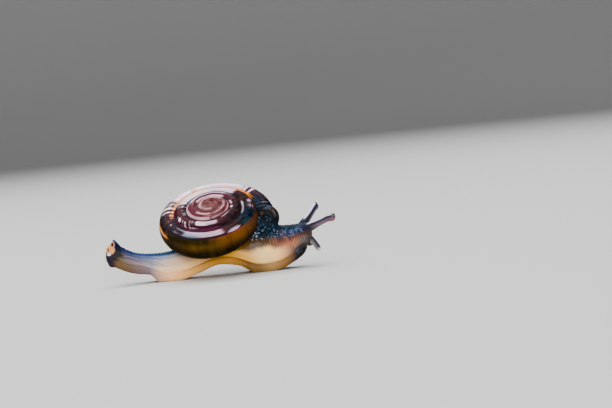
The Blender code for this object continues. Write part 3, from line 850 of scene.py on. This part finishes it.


# Colours of the shell: across a whorl, along the pale marks, which are painted reflections, and
# along the base. A row of such a table is a place, and red, green and blue in thousandths.
WHORL_COLOURS = (
    (0.0, 6, 5, 8), (0.08, 20, 6, 14), (0.2, 50, 12, 20), (0.45, 80, 20, 22), (0.7, 40, 9, 12),
    (0.8, 8, 3, 5), (1.0, 3, 2, 3))
PALE_REFLECTION_COLOURS = (
    (0.0, 400, 180, 200), (1.3, 560, 300, 340), (1.7, 800, 560, 600), (2.3, 720, 500, 620),
    (2.6, 920, 840, 860), (3.0, 700, 500, 620), (3.32, 480, 310, 410), (3.42, 340, 300, 420),
    (3.5, 160, 220, 260), (3.6, 1000, 930, 930), (4.09, 600, 480, 660))
BASE_COLOURS = (
    (3.08, 16, 10, 8), (3.17, 80, 28, 8), (3.25, 130, 46, 6), (3.31, 105, 40, 4), (3.36, 65, 36, 4),
    (3.4, 105, 48, 4), (3.45, 45, 24, 5), (3.6, 10, 6, 8), (3.75, 40, 15, 4), (4.09, 20, 12, 8))


def shell_material():
    """Thin dark glossy horn with pale and amber marks over red-brown, and an olive base; the pale
    marks are painted reflections, the amber has a painted glow, and teal glints are painted.
    """
    paint = Paint("shell_gloss")
    mix, step, times = paint.mix, paint.step, paint.times
    turns, across, ribs, pale, amber, teal, crimson, mantle, olive = paint.values(
        "turns across ribs pale amber teal crimson mantle olive")
    ragged = paint.swing(paint.streaks(turns, 12.0, across, 14.0), 1.1)
    # The pale marks are painted reflections of a bright sky.
    pale = step(paint.plus(pale, ragged), 0.22, 0.8)
    # The amber marks are the shell's amber with a painted glow of light through the shell.
    amber = step(paint.plus(amber, ragged), 0.25, 0.75)
    wobble = paint.plus(across, paint.swing(paint.noise(1.6), 0.1))
    blush = step(paint.streaks(turns, 7.0, across, 12.0), 0.5, 0.66)
    ruddy = paint.coats(
        paint.ramp(wobble, WHORL_COLOURS),
        (step(turns, 2.2, 1.3), (0.11, 0.018, 0.016)),
        (step(turns, 0.9, 0.4), (0.17, 0.055, 0.048)),
        (times(blush, step(turns, 2.2, 1.4, 0.0, 0.7)), (0.44, 0.22, 0.24)),
        (step(across, 0.92, 0.99), (0.012, 0.003, 0.005)))
    brown = mix(step(paint.noise(0.8), 0.35, 0.65), (0.008, 0.005, 0.006), (0.04, 0.018, 0.01))
    side = paint.window(turns, 2.94, 3.02, 3.32, 3.24)
    before = times(paint.window(turns, 2.02, 2.06, 2.3, 2.22), step(across, 0.15, 0.4))
    left = times(paint.window(turns, 3.38, 3.44, 3.64, 3.58),
                 step(paint.noise(0.7), 0.3, 0.62, 1.0, 0.3))
    band = paint.streaks(turns, 5.0, across, 26.0)
    light = mix(step(band, 0.42, 0.66), paint.ramp(turns, PALE_REFLECTION_COLOURS, 0.0, 4.1),
                (0.72, 0.5, 0.68), "MULTIPLY")
    edge = times(step(wobble, 1.12, 0.98), step(turns, 3.3, 3.37, 0.0, 0.85))
    rust = times(step(across, 0.9, 0.8), step(turns, 3.38, 3.28))
    base = paint.coats(
        paint.ramp(turns, BASE_COLOURS, 3.0, 4.1),
        (step(wobble, 1.02, 1.3), (0.01, 0.008, 0.003)),
        (edge, (0.007, 0.007, 0.002)),
        (rust, (0.24, 0.04, 0.008)),
        (step(across, 1.7, 2.5), (0.08, 0.03, 0.005)))
    growth = paint.streaks(turns, 34.0, across, 1.0)
    base = mix(step(growth, 0.5, 0.64, 0.0, 0.45), base, (0.4, 0.38, 0.36), "MULTIPLY")
    growth = times(step(growth, 0.48, 0.34), step(turns, 3.42, 3.6, 0.14, 0.4))
    base = mix(growth, base, (0.13, 0.052, 0.008))
    salmon = paint.window(turns, 3.48, 3.56, 3.74, 3.68)
    dark = mix(step(paint.noise(0.6), 0.4, 0.72), (0.002, 0.003, 0.007), (0.005, 0.02, 0.038))
    colour = paint.coats(
        ruddy,
        (paint.most(side, before), brown),
        (left, (0.014, 0.018, 0.022)),
        # Painted shade in the furrows between the growth ribs.
        (times(step(ribs, 0.9, -0.4), 0.5), (0.006, 0.005, 0.014)),
        (crimson, (0.085, 0.012, 0.034)),
        (pale, light),
        # Painted teal and light-blue glints.
        (teal, (0.014, 0.06, 0.075)),
        (olive, base),
        (amber, mix(salmon, (0.66, 0.18, 0.003), (0.85, 0.3, 0.12))),
        (mantle, dark))
    gloss = times(paint.plus(times(pale, 0.85), 0.02), step(turns, 0.4, 2.2, 0.5, 1.0),
                  step(turns, 3.54, 3.6, 0.45, 1.0))
    far_side = times(step(turns, 3.6, 3.7), step(across, 0.95, 1.15, 0.0, 0.5))
    gloss = paint.most(gloss, far_side, step(across, 1.6, 2.0, 0.0, 0.5))
    paint.set(Base_Color=colour, Roughness=0.3, IOR=1.03, Coat_Weight=gloss, Coat_Roughness=0.04)
    paint.bump(paint.noise(0.25, 2.0), 0.006, 0.3)
    return paint.material


# Colours of the skin along the body, at five heights: the foot's fringe, the lower side,
# the middle, the upper side and the ridge.
# The fringe's dip from x 13 to 15 is a painted shadow where the belly's edge meets the ground, and
# its near black from x 20.3 to 23 is painted shade under the foot's front.
FRINGE = (
    (-10.5, 10, 6, 16), (-9.6, 30, 18, 20), (-8.8, 120, 70, 25), (-7.0, 120, 70, 40),
    (-3.5, 160, 110, 130), (-2.0, 500, 300, 200), (0.0, 900, 470, 210), (3.0, 860, 420, 110),
    (8.0, 470, 200, 8), (10.5, 510, 220, 22), (13.0, 190, 88, 16), (14.8, 160, 88, 22),
    (17.0, 320, 175, 55), (19.0, 220, 100, 20), (20.3, 100, 50, 20), (21.2, 12, 8, 10),
    (22.6, 6, 6, 8), (23.3, 35, 30, 22))
# The lower side's near black from x 21.2 to 22.4 is painted shade under the foot's front.
LOWER = (
    (-10.5, 10, 6, 22), (-9.0, 20, 14, 18), (-8.2, 120, 80, 40), (-7.0, 170, 125, 110),
    (-5.0, 240, 185, 200), (-3.0, 380, 310, 340), (-1.5, 820, 560, 360), (2.0, 1000, 600, 280),
    (5.0, 920, 500, 170), (8.0, 500, 230, 2), (11.0, 800, 370, 20), (13.4, 1000, 500, 90),
    (15.5, 1000, 650, 240), (18.0, 1000, 580, 200), (19.3, 620, 300, 140), (20.3, 260, 110, 60),
    (21.2, 30, 20, 20), (22.4, 12, 10, 12), (23.2, 50, 38, 40))
# The middle's dark olive from x 12.5 to 16.5 is the skin's own olive, darkened in part as a painted
# shadow of the shell.
MIDDLE = (
    (-10.5, 15, 10, 20), (-8.2, 9, 8, 10), (-7.4, 100, 80, 100), (-5.0, 150, 130, 200),
    (-3.0, 240, 240, 330), (-1.0, 660, 520, 440), (1.0, 860, 620, 420), (4.0, 900, 560, 280),
    (7.0, 800, 420, 60), (10.0, 450, 220, 20), (12.5, 170, 70, 1), (14.0, 85, 36, 2),
    (16.5, 75, 35, 8), (18.0, 220, 80, 35), (19.5, 470, 130, 36), (21.1, 340, 115, 55),
    (22.2, 110, 65, 45), (23.5, 60, 48, 45))
UPPER = (
    (-10.5, 10, 10, 20), (-8.2, 6, 6, 12), (-7.4, 30, 40, 110), (-6.0, 45, 65, 150),
    (-3.0, 90, 145, 270), (-1.0, 250, 300, 400), (1.0, 460, 420, 420), (3.0, 700, 520, 400),
    (8.0, 600, 340, 40), (12.0, 120, 70, 20), (14.0, 6, 12, 18), (17.0, 5, 16, 28),
    (18.6, 15, 25, 50), (21.5, 20, 34, 80), (23.0, 12, 16, 35), (24.5, 20, 18, 30))
RIDGE = (
    (-10.5, 20, 15, 30), (-9.2, 20, 50, 140), (-8.8, 6, 7, 30), (-6.0, 3, 16, 90),
    (-2.0, 3, 30, 90), (1.0, 8, 50, 100), (12.0, 6, 10, 14), (15.0, 3, 8, 14), (19.0, 2, 10, 20),
    (22.0, 4, 14, 30), (24.0, 20, 18, 30))
LEVELS = ((0.03, -0.03), (0.2, 0.38), (0.56, 0.7), (0.8, 0.88))    # where two of them meet
# Colours of the feelers and their tips, from the faces that look down to those that look up.
FEELER_COLOURS = (
    (-1.0, 160, 80, 100), (-0.5, 150, 100, 130), (-0.05, 80, 55, 80), (0.3, 14, 10, 36),
    (1.0, 20, 16, 50))
TIP_COLOURS = ((-1.0, 400, 80, 90), (-0.45, 220, 60, 80), (0.0, 80, 70, 90), (0.4, 20, 10, 40))
PALP_COLOURS = ((-1.0, 80, 70, 80), (-0.3, 260, 230, 200), (0.5, 30, 25, 50))
# The tail's cut-off end: its pale face, a dark red pit, an orange patch and a drop of slime,
# as centre, half sizes and colour.
PALE_FACE = ((0.66, 3.0, 0.85), (0.68, 0.31, 0.13))
TAIL_SPOTS = (
    ((-10.05, 0.0, 6.15), *PALE_FACE), ((-9.68, 0.0, 6.9), *PALE_FACE),
    ((-9.66, 0.0, 6.2), *PALE_FACE),
    ((-9.42, 0.0, 7.0), (0.26, 3.0, 0.4), (0.05, 0.004, 0.003)),
    ((-10.2, 0.0, 6.2), (0.26, 3.0, 0.4), (0.34, 0.11, 0.03)),
    ((-10.15, 0.0, 5.4), (0.42, 3.0, 0.24), (0.62, 0.68, 0.74)))


def skin_material():
    """Wet skin: cream and gold below, dark above, and blue-grey at the tail, with painted glints,
    highlights, shade and shadow.
    """
    paint = Paint("wet_skin")
    mix, step, times = paint.mix, paint.step, paint.times
    along, height, crest, sweep, side, collar, sheen, flush, fold, upper_feeler, palps, up, rim = (
        paint.values("along height crest sweep side collar sheen flush fold upper lower up rim"))
    patch = paint.swing(paint.noise(1.4), 0.16)
    level = paint.plus(height, patch)
    fringe, lower, middle, upper, ridge = (paint.ramp(along, stops, -11.0, 25.0)
                                           for stops in (FRINGE, LOWER, MIDDLE, UPPER, RIDGE))
    dusk = times(step(level, 0.32, 0.58), step(along, 17.6, 18.6, 0.0, 0.9))
    middle = mix(dusk, middle, (0.085, 0.032, 0.026))
    middle = mix(times(sweep, 0.7), middle, (0.5, 0.34, 0.34), "MULTIPLY")
    upper = mix(times(sweep, 0.6), upper, (0.45, 0.4, 0.48), "MULTIPLY")
    side = paint.plus(side, patch,
                      times(step(along, 13.5, 16.5, 0.0, 0.08), step(along, 22.0, 19.5)))
    teal = times(step(crest, 0.2, 0.8), step(paint.noise(1.1), 0.4, 0.6),
                 step(along, 19.0, 17.0))
    # Painted glints: pale blue spots and rings on the shoulders of the tubercles, thickest along
    # the neck.
    scatter = paint.plus(paint.noise(0.5), step(along, 18.0, 19.0, 0.0, 0.12),
                         step(along, 16.8, 15.8, 0.0, 0.09))
    shoulder_glint = times(paint.window(crest, 0.34, 0.5, 0.98, 0.8), step(scatter, 0.5, 0.62))
    glint = times(shoulder_glint, step(level, 0.92, 0.8, 0.1, 0.85))
    bluish = mix(step(along, 18.0, 19.0), (0.34, 0.42, 0.62), (0.13, 0.19, 0.36))
    mottle = step(paint.noise(0.35), 0.35, 0.6, 0.2, 1.0)
    hole = paint.spot(BREATHING_HOLE, HOLE_STAIN)
    feeler, tip, palp = (paint.ramp(up, stops, -1.0, 1.0)
                         for stops in (FEELER_COLOURS, TIP_COLOURS, PALP_COLOURS))
    colour = paint.coats(
        lower,
        (step(side, *LEVELS[1]), middle),
        (step(level, *LEVELS[2]), upper),
        (step(level, *LEVELS[3]), ridge),
        (step(height, *LEVELS[0]), fringe),
        (collar, (0.004, 0.006, 0.009)),
        (teal, (0.004, 0.036, 0.064)),
        (glint, bluish),
        (times(hole, mottle), (0.075, 0.034, 0.014)),
        # Painted bluish highlight along the collar's top edge.
        (sheen, (0.1, 0.12, 0.2)),
        # Painted pink-grey highlight in an arc on the collar.
        (times(flush, mottle), (0.1, 0.065, 0.055)),
        # Painted highlight on the fold's ridge, and painted shade in the crease above it.
        (paint.math("MULTIPLY", fold, 0.35, clamp=True), (0.36, 0.15, 0.07)),
        (paint.math("MULTIPLY", fold, -0.6, clamp=True), (0.05, 0.025, 0.02)),
        *((paint.spot(place, size), shade) for place, size, shade in TAIL_SPOTS),
        (step(upper_feeler, 0.22, 0.5), feeler),
        (step(upper_feeler, 0.8, 0.92), tip),
        # Painted highlights on the feelers' upper edges.
        (times(rim, 0.8), (0.8, 0.72, 0.86)),
        (step(palps, 0.2, 0.4), palp),
        (step(palps, 0.85, 0.97), (0.6, 0.42, 0.42)))
    wet = mix(step(height, 0.45, 0.75), (0.25, 0.25, 0.25), (0.03, 0.03, 0.03))
    wet = paint.plus(times(wet, step(height, -0.05, 0.1, 0.3, 1.0)),
                     times(step(crest, 0.7, 1.0), step(along, 18.0, 19.0, 0.6, 0.2)))
    wet = paint.most(wet, times(step(upper_feeler, 0.1, 0.3), 0.5), sheen)
    paint.set(Base_Color=colour, Roughness=0.4, IOR=1.1, Coat_Weight=wet, Coat_Roughness=0.1,
              Subsurface_Weight=0.15, Subsurface_Radius=(1.0, 0.5, 0.3),
              Subsurface_Scale=0.5 * MM)
    paint.bump(paint.cells(0.14), 0.02, 0.4)
    return paint.material


def plain_material(name, **inputs):
    paint = Paint(name)
    paint.set(**inputs)
    return paint.material


# ---- studio
def make_eye(node):
    """A fine bead in the place of an eye's solid."""
    low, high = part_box(node)
    mesh = egg(node + "_fine", (low + high) / 2, (high - low) / 2)
    mesh.shade_smooth()
    return add_object(node + "_fine", mesh)


def make_floor():
    """A round floor whose edge turns up, as a studio's sweep does."""
    turn = np.radians(np.linspace(0.0, 90.0, 13))
    radius = np.concatenate(([FLOOR_RADIUS * 0.02], FLOOR_RADIUS + SWEEP * np.sin(turn)))
    height = np.concatenate(([0.0], SWEEP * (1.0 - np.cos(turn))))
    around = np.radians(np.arange(0.0, 360.0, 5.0))
    points = np.stack(np.broadcast_arrays(radius[:, None] * np.cos(around),
                                          radius[:, None] * np.sin(around), height[:, None]), -1)
    index = numbered(points.shape[:2])
    faces = quads(index, np.roll(index, -1, 1)) + [index[0].tolist()]
    mesh = mesh_from("floor", points.reshape(-1, 3), faces)
    mesh.shade_smooth()
    mesh.materials.append(
        plain_material("pale_floor", Base_Color=(0.55, 0.55, 0.54), Roughness=0.7))
    add_object("floor", mesh)


def make_lights():
    """A dim even world, and softboxes that face the snail from above and round it."""
    world = bpy.data.worlds.new("studio")
    world.use_nodes = True
    background = world.node_tree.nodes["Background"]
    background.inputs[0].default_value = (0.94, 0.96, 1.0, 1.0)
    background.inputs[1].default_value = WORLD_LIGHT
    bpy.context.scene.world = world
    for name, place, size, brightness in SOFTBOXES:
        light = bpy.data.lights.new(name, "AREA")
        light.shape = "RECTANGLE"
        light.size, light.size_y = size
        light.energy = brightness * math.pi * size[0] * size[1]
        item = add_object(name, light)
        item.location = place
        item.rotation_euler = Vector(place).to_track_quat("Z", "Y").to_euler()


def make_camera():
    """At the photograph's angle: a little above, level with the snail's right side."""
    pitch, roll = math.radians(CAMERA_PITCH), math.radians(CAMERA_ROLL)
    forward = Vector((0.0, math.cos(pitch), -math.sin(pitch)))
    level_right = Vector((1.0, 0.0, 0.0))
    level_up = level_right.cross(forward)
    right = level_right * math.cos(roll) - level_up * math.sin(roll)
    up = level_right * math.sin(roll) + level_up * math.cos(roll)
    camera = bpy.data.cameras.new("camera")
    camera.lens = LENS
    camera.sensor_width = SENSOR
    camera.clip_start = 0.01
    item = add_object("camera", camera)
    place = Matrix.Translation((CAMERA_TARGET - forward * CAMERA_DISTANCE + SHIFT) * MM)
    item.matrix_world = place @ Matrix((right, up, -forward)).transposed().to_4x4()
    bpy.context.scene.camera = item


# ---- assembly
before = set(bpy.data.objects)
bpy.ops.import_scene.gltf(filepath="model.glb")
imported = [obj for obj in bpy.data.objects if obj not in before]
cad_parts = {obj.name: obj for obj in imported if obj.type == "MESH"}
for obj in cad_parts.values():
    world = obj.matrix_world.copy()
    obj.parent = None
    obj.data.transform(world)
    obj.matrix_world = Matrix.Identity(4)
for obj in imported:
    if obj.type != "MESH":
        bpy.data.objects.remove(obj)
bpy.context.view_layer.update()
foot_low, foot_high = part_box("foot_front")
SHIFT = Vector((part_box("head")[0].x / MM - HEAD_CUT - CUT / 2,
                (foot_low.y + foot_high.y) / 2 / MM, 0.0))

shell = make_shell()
shell.data.materials.append(shell_material())
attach(shell, "root")
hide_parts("shell")

skin = make_skin()
skin.data.materials.append(skin_material())
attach(skin, "root")
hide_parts(*SKIN_NODES)

bead = plain_material("eye_bead", Base_Color=(0.006, 0.006, 0.01), Roughness=0.08,
                      Coat_Weight=1.0)
for node in ("eye_right", "eye_left"):
    eye = make_eye(node)
    eye.data.materials.append(bead)
    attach(eye, "root")
    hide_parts(node)

make_floor()
make_lights()
make_camera()
